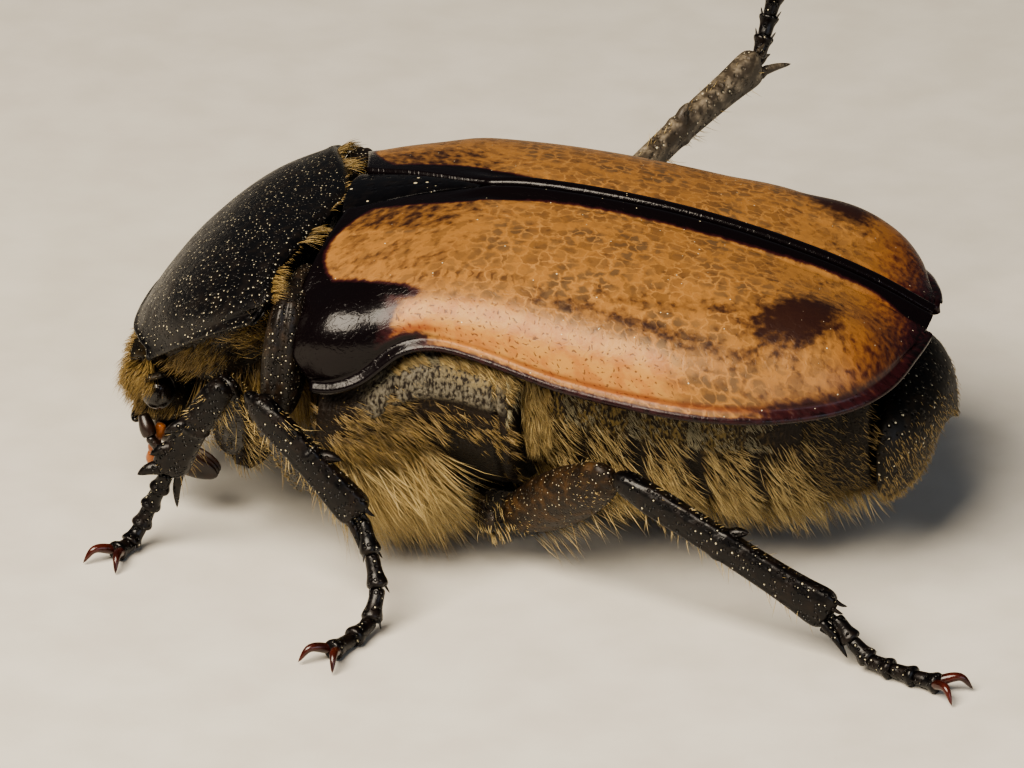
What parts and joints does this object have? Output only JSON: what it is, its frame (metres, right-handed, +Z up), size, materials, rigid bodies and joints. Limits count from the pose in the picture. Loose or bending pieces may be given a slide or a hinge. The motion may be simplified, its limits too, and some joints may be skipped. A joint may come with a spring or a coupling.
{
  "type": "flower chafer beetle model",
  "caption": "Life-size still model of a brown and black flower chafer beetle with a hairy underside, standing with one hind leg lifted.",
  "frame": {"origin": "middle of the underside of the bounding box, on the floor under the beetle", "axes": "-X forwards to the head, +Y to the beetle's right side, +Z up"},
  "size_m": [0.0172, 0.0176, 0.0078],
  "materials": {
    "wing_case": "glossy translucent ochre-brown wing case with a net of pale rings round its pits and dark edges",
    "black_shell": "glossy black pitted shell with pale dust in the pits",
    "brown_shell": "black-brown rough shell with short pale hairs",
    "hairy_shell": "dark shell under long straw-gold hair",
    "palp": "orange-brown shell",
    "eye": "glossy black eye of fine facets"
  },
  "bodies": {
    "root": {"abdomen": "brown_shell", "antenna_left": "brown_shell", "antenna_right": "brown_shell", "coxa_front_left": "black_shell", "coxa_front_right": "black_shell", "coxa_hind_left": "black_shell", "coxa_hind_right": "black_shell", "coxa_mid_left": "black_shell", "coxa_mid_right": "black_shell", "elytron_left": "wing_case", "elytron_right": "wing_case", "eye_left": "eye", "eye_right": "eye", "femur_front_left": "black_shell", "femur_front_right": "black_shell", "femur_hind_left": "black_shell", "femur_hind_right": "black_shell", "femur_mid_left": "black_shell", "femur_mid_right": "black_shell", "head": "brown_shell", "mesepimeron_left": "black_shell", "mesepimeron_right": "black_shell", "mouthparts": "brown_shell", "palp_left": "palp", "palp_right": "palp", "pronotum": "black_shell", "pygidium": "brown_shell", "scutellum": "black_shell", "tarsus_front_left": "black_shell", "tarsus_front_right": "black_shell", "tarsus_hind_left": "black_shell", "tarsus_hind_right": "black_shell", "tarsus_mid_left": "black_shell", "tarsus_mid_right": "black_shell", "thorax": "hairy_shell", "tibia_front_left": "black_shell", "tibia_front_right": "black_shell", "tibia_hind_left": "black_shell", "tibia_hind_right": "black_shell", "tibia_mid_left": "black_shell", "tibia_mid_right": "black_shell"}
  },
  "joints": []
}
